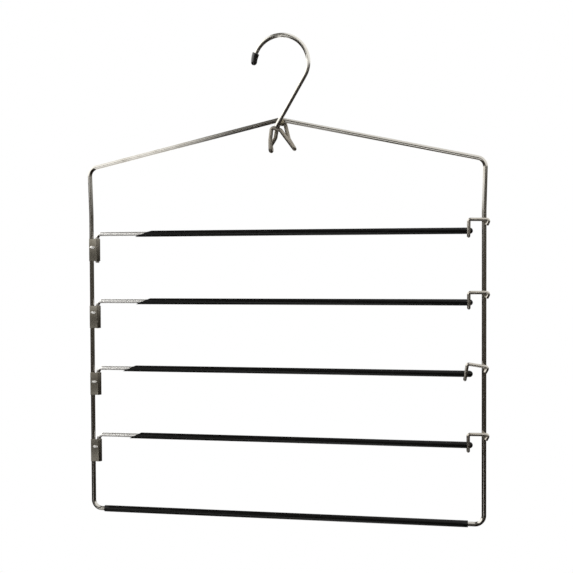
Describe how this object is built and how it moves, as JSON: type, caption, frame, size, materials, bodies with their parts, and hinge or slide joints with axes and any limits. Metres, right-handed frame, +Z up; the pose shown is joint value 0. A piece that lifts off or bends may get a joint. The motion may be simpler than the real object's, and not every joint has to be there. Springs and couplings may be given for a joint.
{
  "type": "multi tier trouser hanger",
  "caption": "Flat wire trouser hanger: rail hook, belt loops, fixed sleeved bottom bar, and sleeved arms hinged on one upright and latched at the other.",
  "frame": {"origin": "inner crown of the hook, where it bears on the rail", "axes": "+Z up, +X from the hinge side to the latch side, -Y the front, where the latches and the hook's shank cross the frame"},
  "size_m": [0.3886, 0.0141, 0.4623],
  "materials": {
    "chrome_wire": "bright chrome plate on drawn wire",
    "thin_wire": "chrome plate, duller at the bends and welds",
    "knuckle_steel": "plated sheet with a spot weld",
    "black_vinyl": "soft gloss non-slip vinyl tube",
    "tip_vinyl": "glossy moulded vinyl cap"
  },
  "bodies": {
    "hanger_frame": {"frame": "chrome_wire", "bottom_sleeve": "black_vinyl", "hook": "chrome_wire", "hook_tip_cap": "tip_vinyl", "belt_loops": "thin_wire", "hinge_knuckle_1": "knuckle_steel", "hinge_knuckle_2": "knuckle_steel", "hinge_knuckle_3": "knuckle_steel", "hinge_knuckle_4": "knuckle_steel", "latch_1": "thin_wire", "latch_2": "thin_wire", "latch_3": "thin_wire", "latch_4": "thin_wire"},
    "arm_1": {"arm_wire_1": "chrome_wire", "arm_sleeve_1": "black_vinyl"},
    "arm_2": {"arm_wire_2": "chrome_wire", "arm_sleeve_2": "black_vinyl"},
    "arm_3": {"arm_wire_3": "chrome_wire", "arm_sleeve_3": "black_vinyl"},
    "arm_4": {"arm_wire_4": "chrome_wire", "arm_sleeve_4": "black_vinyl"}
  },
  "joints": [
    {"name": "arm_swing_1", "type": "hinge", "parent": "hanger_frame", "child": "arm_1", "pos_m": [-0.18585, 0.0044, -0.1836], "axis": [0, 0, 1], "range_deg": [0, 128]},
    {"name": "arm_swing_2", "type": "hinge", "parent": "hanger_frame", "child": "arm_2", "pos_m": [-0.18585, 0.0044, -0.2496], "axis": [0, 0, 1], "range_deg": [0, 128]},
    {"name": "arm_swing_3", "type": "hinge", "parent": "hanger_frame", "child": "arm_3", "pos_m": [-0.18585, 0.0044, -0.3156], "axis": [0, 0, 1], "range_deg": [0, 128]},
    {"name": "arm_swing_4", "type": "hinge", "parent": "hanger_frame", "child": "arm_4", "pos_m": [-0.18585, 0.0044, -0.3816], "axis": [0, 0, 1], "range_deg": [0, 128]}
  ]
}
